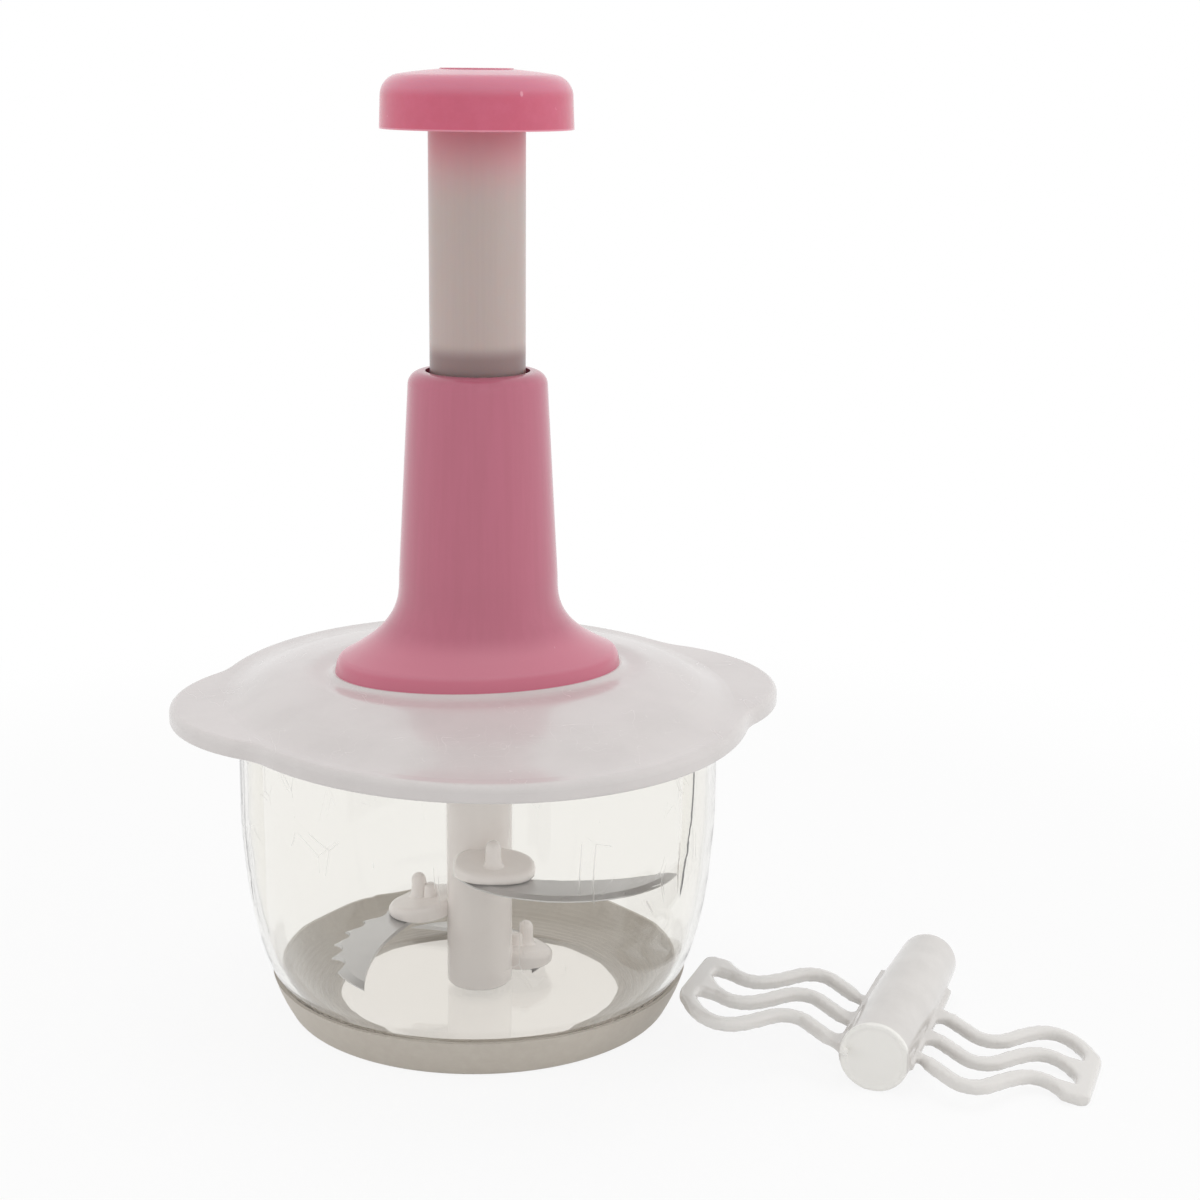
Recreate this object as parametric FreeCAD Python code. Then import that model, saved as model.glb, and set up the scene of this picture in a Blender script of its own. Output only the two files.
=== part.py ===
"""Plunger food chopper: bowl, lid with push drive, three-blade shaft and whisk.

Millimetres, +Z up. The origin is on the table under the bowl's centre, and the
lid's two ears lie along X.
"""
import FreeCAD, Part
import os
from math import asin, atan2, cos, degrees, pi, radians, sin, sqrt

os.makedirs("parts", exist_ok=True)

# ---------------------------------------------------------------- driving sizes
# Bowl
bowl_radius = 70.0            # outside, at the rim
bowl_height = 93.5            # table to rim
bowl_wall = 2.2
straight_wall_height = 25.5   # the upper part of the wall, which is a cylinder
wall_draw_in = 14.6           # how far the wall curves in below that
wall_turn_height = 8.0        # height where that curve would lie flat
sweep_steps = 5               # spans of the curve
rib_reach = 6.5               # rib's inner edge, measured in from the outside radius
rib_thickness = 2.4
rib_top_gap = 2.0             # rib's top end to the lid's plug
pin_radius = 2.5
pin_top = 26.0
pin_root = 3.0                # where the pin starts inside the floor
pin_round = 1.0
boss_radius = 5.5
boss_top = 9.0
# Base ring
ring_height = 12.0
ring_pad = 1.8                # ring's thickness under the bowl's floor
ring_lip = 1.1
foot_inset = 3.6              # foot's radius, measured in from the bowl's at the lip
foot_round = 2.0
foot_bulge = 0.7              # how full the foot's rounding is, as a share of a quarter circle
foot_flare = 0.3
ring_bulge = 0.35
# Lid
lid_side = 8.0                # oval of the lid beyond the bowl, along X
lid_end = 20.5                # and along Y
ear_side = 19.5               # tip of an ear beyond the bowl
ear_radius = 50.0
ear_blend = 25.0
lid_wall = 2.5
rim_thickness = 5.0
rim_round = 2.0
rim_edge_round = 0.8
dome_height = 7.3
dome_side = 4.5               # flat rim beside the dome, along X
dome_end = 5.5                # and along Y
dome_shape = (                # dome's profile: share of the way in, share of the height
    (0.0, 0.0), (0.06, 0.03), (0.14, 0.14), (0.25, 0.36), (0.4, 0.6), (0.6, 0.8), (0.8, 0.93),
    (1.0, 1.0))
crown_margin = 0.6            # crown beyond the tower's flange
plug_depth = 8.0
plug_wall = 2.2
seat_overhang = 1.5
seat_thickness = 2.0
seal_height = 3.0
seal_depth = 1.2
seal_drop = 2.1               # bowl rim to the top of the seal's groove
seal_groove = 0.8             # between the seal's two lips
# Underplate
underplate_drop = 5.9         # bowl rim to the plate's underside
underplate_thickness = 2.4
underplate_rib = 1.6
underplate_rib_height = 2.0
underplate_rib_count = 8
underplate_rib_gap = 1.0      # rib's end to the clutch sleeve
underplate_rib_inset = 3.0    # rib's end to the plug
# Tower
tower_height = 86.7
tower_rim = 4.8               # mouth to outside, at the top
tower_taper = 3.2             # the column's foot is this much larger than its top
tower_wall = 2.4
mouth_gap = 1.3               # tube to the mouth
shoulder_round = 4.0
flange_half_length = 42.0
flange_half_width = 30.0
lip_height = 4.9              # from the lid's crown to the crest of the flange's lip
lip_end = 2.0                 # crest inside the flange's edge, along X
lip_side = 1.3                # and along Y
lip_shape = ((0.0, 0.0), (0.45, 0.2), (0.85, 0.6), (1.0, 1.0))  # share of height, of the way in
flare_height = 23.5
flare_shares = (0.0, 0.13, 0.3, 0.5, 0.7, 1.0)  # heights of the flare's sections
guide_length = 16.0
guide_wall = 3.5
mouth_depth = 6.0
web_thickness = 1.7
# Plunger
tube_radius = 13.6
tube_wall = 1.8
tube_upper_wall = 2.7
tube_visible = 67.0           # tower mouth to knob
collar_step = 2.4             # stop collar beyond the tube
collar_height = 3.0
tube_cap = 3.5
pilot_wall = 2.6
stroke = 60.0
# Knob
knob_radius = 27.0
knob_height = 16.1
knob_draft = 0.5
knob_round = 6.0
knob_fall = 2.2               # how far the crown falls from the plug to its edge
knob_wall = 2.6
knob_room_round = 2.0
knob_room_height = 10.1
knob_socket_wall = 2.4
knob_socket_depth = 5.0
knob_floor = 3.0              # tube's top to the screw's seat
knob_web = 1.6
knob_web_count = 6
knob_web_inset = 1.5
plug_radius = 10.3
plug_thickness = 2.4
plug_proud = 0.3
plug_round = 0.25
plug_skirt = 2.0
plug_skirt_wall = 1.0
# Drive
lead = 45.0                   # height in which the rod makes one turn
rod_width = 8.4
rod_thickness = 3.2
rod_journal_radius = 5.0
rod_journal_height = 2.7      # above the lid's crown
rod_overlap = 7.0             # length of rod inside the nut at rest
rod_end_gap = 2.0             # rod's end to the knob's screw at full press
twist_step = 15.0             # degrees between two sections of the twist
nut_height = 10.0
nut_drop = 2.0                # tower mouth to the nut's underside
clutch_radius = 12.0
clutch_room = 2.5             # clutch to its sleeve
clutch_tooth = 1.0
clutch_tooth_width = 3.2
clutch_tooth_root = 7.0
clutch_tooth_inset = 0.8
clutch_tooth_count = 6
clutch_backlash = 0.6         # degrees between the driving faces
clutch_plate = 2.2
clutch_lift = 1.2             # how far the rod can lift out of mesh
tang_size = 6.0
journal_radius = 6.0
bush_wall = 2.0
bush_flange = 1.0
bush_flange_reach = 2.4
clip_thickness = 0.7
clip_radius = 8.4
clip_groove = 1.0
clip_opening = 7.0
clip_collar = 0.5             # journal left below the clip
hex_across = 9.0
hex_length = 14.0
# Return spring
wire_radius = 0.65
coil_turns = 12.0
coil_gap = 1.95               # spring to the tube's bore
washer_reach = 0.4            # washer beyond the outside of the spring
washer_thickness = 1.0
# Blade shaft
shaft_radius = 9.75
shaft_wall = 2.2
shaft_bottom = 5.5
socket_gap = 1.0              # below the hexagon's end
socket_floor = 2.0
foot_bush_length = 14.0
blade_thickness = 1.2
upper_blade_height = 44.8     # table to the top face of each blade
middle_blade_height = 26.0
lower_blade_height = 7.5
upper_hub_angle = -90.0
middle_hub_angle = 150.0
lower_hub_angle = 30.0
hub_radius = 11.0
hub_reach = 6.75              # hub's centre beyond the shaft's side
hub_height = 5.2              # at the outer edge
hub_rise = 4.2                # how far the top climbs across the hub, towards the shaft
hub_round = 2.6
hub_foot_round = 1.2
stub_radius = 2.0             # low stub between the peg and the shaft
stub_height = 8.7
stub_reach = 3.25
stub_round = 0.6
peg_radius = 2.4
peg_height = 10.4
peg_reach = 8.25
stake_radius = 1.6
stake_head_radius = 2.6
stake_head = 0.8
# Blades, in the frame of a hub that points along +X: the tail, the direction of
# the tip, the gap from the tip to the bowl, and how far each edge bows out
blade_tail = (12.0, -10.5)
blade_stakes = ((21.0, -3.5), (24.5, 4.5))
upper_blade_form = (63.2, 6.9, 21.9, 7.4)
middle_blade_form = (77.0, 2.4, 21.5, 7.1)
lower_blade_form = (77.4, 8.7, 21.8, 9.3)
bevel_width = 2.2
bevel_depth = 0.8
scallop_radius = 5.6
scallop_depth = 3.2
scallop_shares = (0.31, 0.425, 0.54, 0.655, 0.77)
# Whisk
whisk_radius = 10.0
whisk_far_radius = 9.2
whisk_length = 75.0
whisk_end_round = 1.5
whisk_face_recess = 0.8
whisk_face_rim = 1.3
fin_reach = 11.0              # ridge along each side of the tube, from its axis
fin_start = 1.5
fin_end = 56.0
paddle_reach = 57.6
paddle_thickness = 2.3
paddle_middle = 20.9          # near end of the tube to the middle bar's level
paddle_pitch = 15.5
paddle_root = 7.0             # where the paddle starts inside the tube
paddle_round = 10.0           # tip's corner on the far side
paddle_small_round = 2.5      # and on the near side
paddle_shelf = 6.2            # tip's near side above the first bar's level
bar_width = 3.2
bar_steps = 24
bar_course = (                # middle line of a bar: from the tube's axis, above its level
    (6.0, 6.8), (12.0, 2.8), (16.0, 0.0), (20.0, -2.8), (24.5, -5.1), (29.0, -3.6), (33.0, 1.8),
    (37.0, 8.0), (41.0, 11.7), (44.0, 12.4), (48.0, 11.1), (52.5, 6.8), (59.0, -1.6))
slot_start = 10.6
slot_end = 53.4
slot_shelf = 12.8             # tip's end of a slot above the level of the bar below it
shelf_start = 46.0
slot_root_rounds = (1.5, 3.0)  # a slot's near and far corner, at the tube
slot_tip_rounds = (0.8, 6.0)   # and at the tip
whisk_distance = 58.6         # near end of the tube to the bowl, on the table
whisk_bearing = -45.0         # degrees from +X, seen from the bowl's centre
whisk_heading = -34.8         # degrees from +Y
# Screws
screw_radius = 1.45
screw_head_radius = 2.6
screw_head = 1.8
screw_head_gap = 0.4
screw_boss_radius = 3.6
pilot_gap = 0.4               # screw's tip to the bottom of its hole
tower_screw_side = 12.0       # screws inside the flange's edge, along X
tower_screw_room = 2.4        # between the heads of the other two and the clutch sleeve
tower_screw_length = 5.6
underplate_screw_inset = 15.2
underplate_screw_length = 10.4
underplate_screw_count = 4
underplate_screw_angle = 45.0
# Clearances
running = 0.06                # radial, journals in their bushes
sliding = 0.08                # radial, tube in the guide bush
plug_clearance = 0.45         # radial, lid's plug in the bowl
seal_clearance = 0.05         # radial, seal in the bowl
free_gap = 0.3                # parts that pass each other
nut_clearance = 0.12          # on each side of the twisted rod
hex_clearance = 0.1           # on each flat
mesh_gap = 0.05               # between clutch faces
plate_clearance = 0.15        # underplate in the lid's plug
screw_clearance = 0.15
tolerance = 0.001             # sizes closer than this count as equal

# ------------------------------------------------------------- worked-out levels
V = FreeCAD.Vector
UP = V(0, 0, 1)
CENTRE = V(0, 0, 0)

bowl_inner_radius = bowl_radius - bowl_wall
sweep_top = bowl_height - straight_wall_height
sweep_height = sweep_top - wall_turn_height
sweep_radius = bowl_radius - wall_draw_in

lid_half_width = bowl_radius + lid_side
lid_half_length = bowl_radius + lid_end
ear_centre = bowl_radius + ear_side - ear_radius
lid_top = bowl_height + lid_wall
skirt_bottom = lid_top - rim_thickness
crown = lid_top + dome_height
crown_underside = crown - lid_wall
crown_half_length = flange_half_length + crown_margin
crown_half_width = flange_half_width + crown_margin
plug_outer = bowl_inner_radius - plug_clearance
plug_inner = plug_outer - plug_wall
plug_bottom = bowl_height - plug_depth
seal_top = bowl_height - seal_drop
seal_outer = bowl_inner_radius - seal_clearance
sleeve_inner = clutch_radius + clutch_room
sleeve_outer = sleeve_inner + lid_wall
underplate_bottom = bowl_height - underplate_drop
underplate_top = underplate_bottom + underplate_thickness
underplate_screw_radius = plug_inner - underplate_screw_inset

driver_top = crown_underside - clutch_lift
driver_bottom = driver_top - clutch_plate
coupling_top = driver_bottom - clutch_tooth - mesh_gap
coupling_disc_bottom = coupling_top - clutch_plate
bush_top = coupling_disc_bottom - mesh_gap
bush_seat = bush_top - bush_flange
bush_outer = journal_radius + bush_wall
bush_flange_radius = bush_outer + bush_flange_reach
clip_top = underplate_bottom - free_gap
clip_bottom = clip_top - clip_thickness
journal_bottom = clip_bottom - clip_collar
shaft_top = journal_bottom - free_gap
hex_bottom = journal_bottom - hex_length
socket_bottom = hex_bottom - socket_gap
socket_across = hex_across + 2 * hex_clearance
shaft_bore = shaft_radius - shaft_wall

guide_radius = tube_radius + sliding
guide_outer = guide_radius + guide_wall
tower_mouth_radius = tube_radius + mouth_gap
tower_top_radius = tower_mouth_radius + tower_rim
tower_foot_radius = tower_top_radius + tower_taper
tower_top = crown + tower_height
flange_top = crown + lip_height
flare_top = flange_top + flare_height
guide_top = tower_top - mouth_depth
guide_bottom = guide_top - guide_length
tube_bottom = guide_bottom - collar_height
tube_bore = tube_radius - tube_wall
knob_bottom = tower_top + tube_visible
knob_top = knob_bottom + knob_height
tube_top = knob_bottom + knob_socket_depth
plug_seat = knob_top - plug_thickness + plug_proud
screw_seat = tube_top + knob_floor
nut_bottom = tower_top - nut_drop
nut_top = nut_bottom + nut_height
rod_top = nut_bottom + rod_overlap
screw_tip = rod_top + stroke + rod_end_gap
twist_bottom = crown + rod_journal_height
spring_bottom = crown + washer_thickness
coil_radius = tube_bore - coil_gap - wire_radius
washer_radius = coil_radius + wire_radius + washer_reach

# angle about Z and distance from the axis of each screw under the tower
side_screw_distance = flange_half_length - tower_screw_side
end_screw_distance = sleeve_outer + screw_head_radius + tower_screw_room
tower_screws = (
    (0, side_screw_distance),
    (90, end_screw_distance),
    (180, side_screw_distance),
    (270, end_screw_distance),
)
hubs = (
    (upper_blade_height, upper_hub_angle),
    (middle_blade_height, middle_hub_angle),
    (lower_blade_height, lower_hub_angle),
)


# ------------------------------------------------------------------ small helpers
def save(name, shape):
    """Write one node."""
    shape.exportStep("parts/%s.step" % name)


def disc(radius, bottom, top, x=0.0, y=0.0):
    """An upright cylinder between two levels."""
    return Part.makeCylinder(radius, top - bottom, V(x, y, bottom), UP)


def ring(outer, inner, bottom, top):
    """An upright tube between two levels."""
    return disc(outer, bottom, top).cut(disc(inner, bottom, top))


def slab(length, width, bottom, top, x=0.0, y=0.0):
    """An upright block centred on x, y."""
    return Part.makeBox(length, width, top - bottom, V(x - length / 2, y - width / 2, bottom))


def line(start, end):
    return Part.LineSegment(start, end).toShape()


def arc(start, middle, end):
    return Part.Arc(start, middle, end).toShape()


def polyline(points):
    return [line(a, b) for a, b in zip(points, points[1:])]


def revolve(edges):
    """A solid of revolution about Z from closed edges in the XZ plane."""
    wire = Part.Wire(Part.__sortEdges__(edges))
    return Part.Face(wire).revolve(CENTRE, UP, 360)


def turned(shape, angle, axis=UP, centre=CENTRE):
    """A copy turned about an axis."""
    copy = shape.copy()
    copy.rotate(centre, axis, angle)
    return copy


def around(shape, count, start=0.0):
    """Copies spaced evenly about Z."""
    return [turned(shape, start + 360.0 * i / count) for i in range(count)]


def fuse(shapes):
    return shapes[0].fuse(shapes[1:]).removeSplitter()


def edges_at(shape, level):
    """The edges that lie in one level plane."""
    found = []
    for edge in shape.Edges:
        box = edge.BoundBox
        if abs(box.ZMin - level) < tolerance and abs(box.ZMax - level) < tolerance:
            found.append(edge)
    return found


def upright_edges(shape):
    """The edges that stand upright."""
    found = []
    for edge in shape.Edges:
        box = edge.BoundBox
        if box.XLength < tolerance and box.YLength < tolerance:
            found.append(edge)
    return found


def ellipse_wire(half_x, half_y, level):
    """An ellipse in a level plane, started on the X axis whichever half is longer."""
    if half_x >= half_y:
        curve = Part.Ellipse(V(half_x, 0, level), V(0, half_y, level), V(0, 0, level))
        return Part.Wire(curve.toShape())
    curve = Part.Ellipse(V(0, half_y, level), V(-half_x, 0, level), V(0, 0, level))
    return Part.Wire(curve.toShape(-pi / 2, 3 * pi / 2))


def ellipse_block(half_x, half_y, bottom, top):
    return Part.Face(ellipse_wire(half_x, half_y, bottom)).extrude(UP * (top - bottom))


def hexagon(across, bottom, top):
    """A hexagonal prism, measured across its flats."""
    corner = V(across / 2 / cos(pi / 6), 0, bottom)
    points = [turned(Part.Vertex(corner), 60 * i).Point for i in range(7)]
    return Part.Face(Part.makePolygon(points)).extrude(UP * (top - bottom))


def pan_screw(x, head_level, length, direction=1):
    """A pan-head screw whose head bears at head_level; it points up, or down at -1."""
    point = V(x, 0, head_level)
    head = Part.makeCylinder(screw_head_radius, screw_head, point, UP * -direction)
    shank = Part.makeCylinder(screw_radius, length, point, UP * direction)
    return fuse([head, shank])


# -------------------------------------------------------------------------- bowl
def sweep_point(angle, inset):
    """A point of the curved wall, moved in along its normal."""
    point = V(sweep_radius + wall_draw_in * cos(angle), 0, sweep_top - sweep_height * sin(angle))
    normal = V(sweep_height * cos(angle), 0, -wall_draw_in * sin(angle)).normalize()
    return point - normal * inset


def bowl_contour(inset):
    """The floor corner, the curved wall and the straight wall, as three edges."""
    join_angle = asin((sweep_top - ring_height) / sweep_height)
    join = sweep_point(join_angle, 0)
    normal = (join - sweep_point(join_angle, 1)).normalize()
    corner_radius = (ring_height - ring_pad) / (1 + normal.z)
    centre = join - normal * corner_radius
    halfway = (normal - UP).normalize()
    radius = corner_radius - inset
    corner = arc(centre - UP * radius, centre + halfway * radius, centre + normal * radius)
    shares = [i / sweep_steps for i in range(sweep_steps + 1)]
    points = [sweep_point(join_angle * (1 - share), inset) for share in shares]
    sweep = Part.BSplineCurve()
    sweep.interpolate(Points=points, InitialTangent=V(-normal.z, 0, normal.x), FinalTangent=UP)
    wall_radius = bowl_radius - inset
    straight = line(V(wall_radius, 0, sweep_top), V(wall_radius, 0, bowl_height))
    return corner, sweep.toShape(), straight


def bowl_solid(inset):
    """The space inside one contour, up to the rim."""
    corner, sweep, straight = bowl_contour(inset)
    start = corner.valueAt(corner.FirstParameter)
    end = straight.valueAt(straight.LastParameter)
    closing = polyline([start, V(0, 0, start.z), V(0, 0, end.z), end])
    return revolve([corner, sweep, straight] + closing)


bowl_outside = bowl_solid(0)
bowl_inside = bowl_solid(bowl_wall)
rib_top = plug_bottom - rib_top_gap
rib = slab(rib_reach, rib_thickness, ring_height, rib_top, bowl_radius - rib_reach / 2)
ribs = [r.common(bowl_outside) for r in around(rib, 2)]
boss = disc(boss_radius, ring_pad + bowl_wall / 2, boss_top)
bowl = fuse([bowl_outside.cut(bowl_inside), boss] + ribs)
save("bowl", bowl.cut(disc(pin_radius, pin_root, boss_top)))

pin = disc(pin_radius, pin_root, pin_top)
save("bowl_pin", pin.makeFillet(pin_round, edges_at(pin, pin_top)))


# --------------------------------------------------------------------- base ring
def base_ring():
    """A soft boot under the bowl: the inside follows the bowl's rounded corner."""
    corner = bowl_contour(0)[0]
    inner_foot = corner.valueAt(corner.FirstParameter)
    join = corner.valueAt(corner.LastParameter)
    lip = V(join.x + ring_lip, 0, ring_height)
    foot_radius = join.x - foot_inset
    flat_end = V(foot_radius - foot_round, 0, 0)
    side_start = V(foot_radius + foot_flare, 0, foot_round)
    foot_corner = V(foot_radius, 0, 0)
    chord_middle = (flat_end + side_start) * 0.5
    round_middle = chord_middle + (foot_corner - chord_middle) * foot_bulge * (sqrt(2) - 1)
    side_middle = (side_start + lip) * 0.5 + V(ring_bulge, 0, 0)
    edges = [corner, arc(flat_end, round_middle, side_start), arc(side_start, side_middle, lip)]
    edges += polyline([lip, join])
    edges += polyline([inner_foot, V(inner_foot.x, 0, 0), flat_end])
    return revolve(edges)


save("base_ring", base_ring())


# ---------------------------------------------------------------- lid and its seal
def lid_outline(inset, bottom, top):
    """The oval with its two ears, as an upright block."""
    oval = ellipse_block(lid_half_width - inset, lid_half_length - inset, bottom, top)
    ears = [disc(ear_radius - inset, bottom, top, side * ear_centre) for side in (1, -1)]
    block = fuse([oval] + ears)
    corners = [edge for edge in upright_edges(block) if abs(edge.CenterOfMass.y) > tolerance]
    return block.makeFillet(ear_blend + inset, corners)


def lid_dome(inset):
    """The crowned middle of the lid; its top is the oval seat of the tower."""
    sections = []
    for inward, rise in dome_shape:
        half_x = (lid_half_width - dome_side) * (1 - inward) + crown_half_length * inward
        half_y = (lid_half_length - dome_end) * (1 - inward) + crown_half_width * inward
        level = lid_top + dome_height * rise - inset
        sections.append(ellipse_wire(half_x - inset, half_y - inset, level))
    return Part.makeLoft(sections, True, False)


def lid_shell():
    """The moulded lid: rim, dome, plug, clutch sleeve and screw bosses."""
    rim = lid_outline(0, skirt_bottom, lid_top)
    rim = rim.makeFillet(rim_round, edges_at(rim, lid_top))
    rim = rim.makeFillet(rim_edge_round, edges_at(rim, skirt_bottom))
    outside = fuse([rim, lid_dome(0)])
    pocket = lid_outline(lid_wall, skirt_bottom, bowl_height)
    shell = outside.cut([pocket, lid_dome(lid_wall)])
    core = outside.fuse(disc(plug_outer, plug_bottom, lid_top))
    plug = ring(plug_outer, plug_inner, plug_bottom, crown)
    seat = ring(bowl_radius + seat_overhang, plug_inner, bowl_height, bowl_height + seat_thickness)
    sleeve = ring(sleeve_outer, sleeve_inner, underplate_top, crown)
    post = disc(screw_boss_radius, underplate_top, crown, underplate_screw_radius)
    posts = around(post, underplate_screw_count, underplate_screw_angle)
    shell = fuse([shell] + [piece.common(core) for piece in [plug, seat, sleeve] + posts])
    pilot_top = underplate_bottom + underplate_screw_length + pilot_gap
    pilot = disc(screw_radius, underplate_top, pilot_top, underplate_screw_radius)
    cuts = around(pilot, underplate_screw_count, underplate_screw_angle)
    cuts.append(ring(plug_outer, plug_outer - seal_depth, seal_top - seal_height, seal_top))
    cuts.append(disc(rod_journal_radius + running, crown_underside, crown))
    for angle, distance in tower_screws:
        hole = disc(screw_radius + screw_clearance, crown_underside, crown, distance)
        cuts.append(turned(hole, angle))
    return shell.cut(cuts)


save("lid_shell", lid_shell())

seal_middle = seal_top - seal_height / 2
seal = ring(seal_outer, plug_outer - seal_depth, seal_top - seal_height, seal_top)
lip_groove = ring(seal_outer, plug_outer, seal_middle - seal_groove / 2, seal_middle + seal_groove / 2)
save("lid_seal", seal.cut(lip_groove))


# -------------------------------------------------------------------- underplate
def underplate():
    """The plate that closes the lid from below and carries the coupling's bush."""
    plate = disc(plug_inner - plate_clearance, underplate_bottom, underplate_top)
    collar = disc(bush_flange_radius, underplate_bottom, bush_seat)
    rib_start = sleeve_outer + underplate_rib_gap
    rib_end = plug_inner - underplate_rib_inset
    rib_top = underplate_top + underplate_rib_height
    middle = (rib_start + rib_end) / 2
    stiffener = slab(rib_end - rib_start, underplate_rib, underplate_top, rib_top, middle)
    stiffeners = around(stiffener, underplate_rib_count, 180.0 / underplate_rib_count)
    hole_radius = screw_radius + screw_clearance
    hole = disc(hole_radius, underplate_bottom, underplate_top, underplate_screw_radius)
    cuts = around(hole, underplate_screw_count, underplate_screw_angle)
    cuts.append(disc(bush_outer, underplate_bottom, bush_seat))
    return fuse([plate, collar] + stiffeners).cut(cuts)


save("lid_underplate", underplate())

plate_screw = pan_screw(underplate_screw_radius, underplate_bottom, underplate_screw_length)
plate_screws = around(plate_screw, underplate_screw_count, underplate_screw_angle)
save("underplate_screws", Part.makeCompound(plate_screws))

bush_bore = journal_radius + running
bush_barrel = ring(bush_outer, bush_bore, underplate_bottom, bush_top)
bush_collar = ring(bush_flange_radius, bush_bore, bush_seat, bush_top)
save("coupling_bush", fuse([bush_barrel, bush_collar]))


# ------------------------------------------------------------------------- tower
def lip(inset):
    """The flange's lip: steep at its foot and turning in towards its crest."""
    sections = []
    for rise, inward in lip_shape:
        half_x = flange_half_length - lip_end * inward
        half_y = flange_half_width - lip_side * inward
        sections.append(ellipse_wire(half_x - inset, half_y - inset, crown + lip_height * rise))
    return Part.makeLoft(sections, True, False)


def flare(inset):
    """The trumpet from the crest of the lip to the round foot of the column."""
    column = tower_foot_radius
    sections = []
    for share in flare_shares:
        spread = (1 - share) ** 3
        half_x = column + (flange_half_length - lip_end - column) * spread
        half_y = column + (flange_half_width - lip_side - column) * spread
        level = flange_top + flare_height * share
        sections.append(ellipse_wire(half_x - inset, half_y - inset, level))
    return Part.makeLoft(sections, True, False)


def column(inset, top):
    """The tapered column above the flare."""
    share = (top - flare_top) / (tower_top - flare_top)
    top_radius = tower_foot_radius - tower_taper * share
    height = top - flare_top
    return Part.makeCone(tower_foot_radius - inset, top_radius - inset, height, V(0, 0, flare_top), UP)


def tower_housing():
    """The tapered column on its oval flange, hollow, with four screw bosses."""
    shaft = column(0, tower_top)
    shaft = shaft.makeFillet(shoulder_round, edges_at(shaft, tower_top))
    outside = fuse([lip(0), flare(0), shaft])
    hollow = [lip(tower_wall), flare(tower_wall), column(tower_wall, guide_bottom)]
    hollow.append(disc(guide_outer, guide_bottom, guide_top))
    hollow.append(disc(tower_mouth_radius, guide_top, tower_top))
    shell = outside.cut(hollow)
    bosses = []
    pilots = []
    pilot_top = crown_underside + tower_screw_length + pilot_gap
    for angle, distance in tower_screws:
        post = disc(screw_boss_radius, crown, flange_top, distance)
        web_length = flange_half_length - distance
        web = slab(web_length, web_thickness, crown, flange_top, distance + web_length / 2)
        bosses += [turned(piece, angle).common(outside) for piece in (post, web)]
        pilots.append(turned(disc(screw_radius, crown, pilot_top, distance), angle))
    return fuse([shell] + bosses).cut(pilots)


save("tower_housing", tower_housing())
tower_screw_set = [turned(pan_screw(distance, crown_underside, tower_screw_length), angle)
                   for angle, distance in tower_screws]
save("tower_screws", Part.makeCompound(tower_screw_set))
save("guide_bush", ring(guide_outer, guide_radius, guide_bottom, guide_top))


# ----------------------------------------------------------------------- plunger
def plunger_tube():
    """The sliding tube: stop collar below, nut seat inside, closed top with a pilot."""
    cap_bottom = tube_top - tube_cap
    pilot_bottom = screw_tip - pilot_gap
    body = disc(tube_radius, tube_bottom, tube_top)
    collar = disc(tube_radius + collar_step, tube_bottom, tube_bottom + collar_height)
    bores = [disc(tube_bore, tube_bottom, nut_top),
             disc(tube_radius - tube_upper_wall, nut_top, cap_bottom)]
    pilot_boss = disc(screw_radius + pilot_wall, pilot_bottom, cap_bottom)
    body = fuse([fuse([body, collar]).cut(bores), pilot_boss])
    return body.cut(disc(screw_radius, pilot_bottom, tube_top))


save("plunger_tube", plunger_tube())


def knob_outside():
    """The knob's outside: slight draft, a domed crown and a rounded shoulder."""
    edge = knob_radius - knob_draft
    halfway = (edge + plug_radius) / 2
    fall = knob_fall * (halfway ** 2 - plug_radius ** 2) / (edge ** 2 - plug_radius ** 2)
    shoulder = V(edge, 0, knob_top - knob_fall)
    seat_edge = V(plug_radius, 0, knob_top)
    crown_arc = arc(shoulder, V(halfway, 0, knob_top - fall), seat_edge)
    sides = polyline([seat_edge, V(0, 0, knob_top), V(0, 0, knob_bottom),
                      V(knob_radius, 0, knob_bottom), shoulder])
    body = revolve([crown_arc] + sides)
    return body.makeFillet(knob_round, edges_at(body, shoulder.z))


def knob():
    """The mushroom knob: hollow below, with a socket for the tube and radial webs."""
    socket_radius = tube_radius + knob_socket_wall
    room_radius = knob_radius - knob_draft - knob_wall
    room_top = knob_bottom + knob_room_height
    outside = knob_outside()
    room = disc(room_radius, knob_bottom, room_top)
    room = room.makeFillet(knob_room_round, edges_at(room, room_top))
    room = room.cut(disc(socket_radius, knob_bottom, room_top))
    web_middle = (socket_radius + room_radius) / 2
    web = slab(room_radius - socket_radius + knob_wall, knob_web, knob_bottom + knob_web_inset,
               room_top, web_middle)
    webs = [w.common(outside) for w in around(web, knob_web_count)]
    body = fuse([outside.cut(room)] + webs)
    core_inner = screw_head_radius + screw_head_gap + knob_wall
    cuts = [disc(tube_radius, knob_bottom, tube_top)]
    cuts.append(ring(tube_bore, core_inner, tube_top, plug_seat - knob_wall))
    cuts.append(disc(plug_radius, plug_seat, knob_top))
    cuts.append(disc(screw_head_radius + screw_head_gap, screw_seat, plug_seat))
    cuts.append(disc(screw_radius + screw_clearance, tube_top, screw_seat))
    return body.cut(cuts)


save("knob_cap", knob())

knob_plug_top = plug_seat + plug_thickness
knob_plug = disc(plug_radius, plug_seat, knob_plug_top)
knob_plug = knob_plug.makeFillet(plug_round, edges_at(knob_plug, knob_plug_top))
skirt_radius = screw_head_radius + screw_head_gap
skirt = ring(skirt_radius, skirt_radius - plug_skirt_wall, plug_seat - plug_skirt, plug_seat)
save("knob_plug", fuse([knob_plug, skirt]))
save("knob_screw", pan_screw(0, screw_seat, screw_seat - screw_tip, direction=-1))


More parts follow.
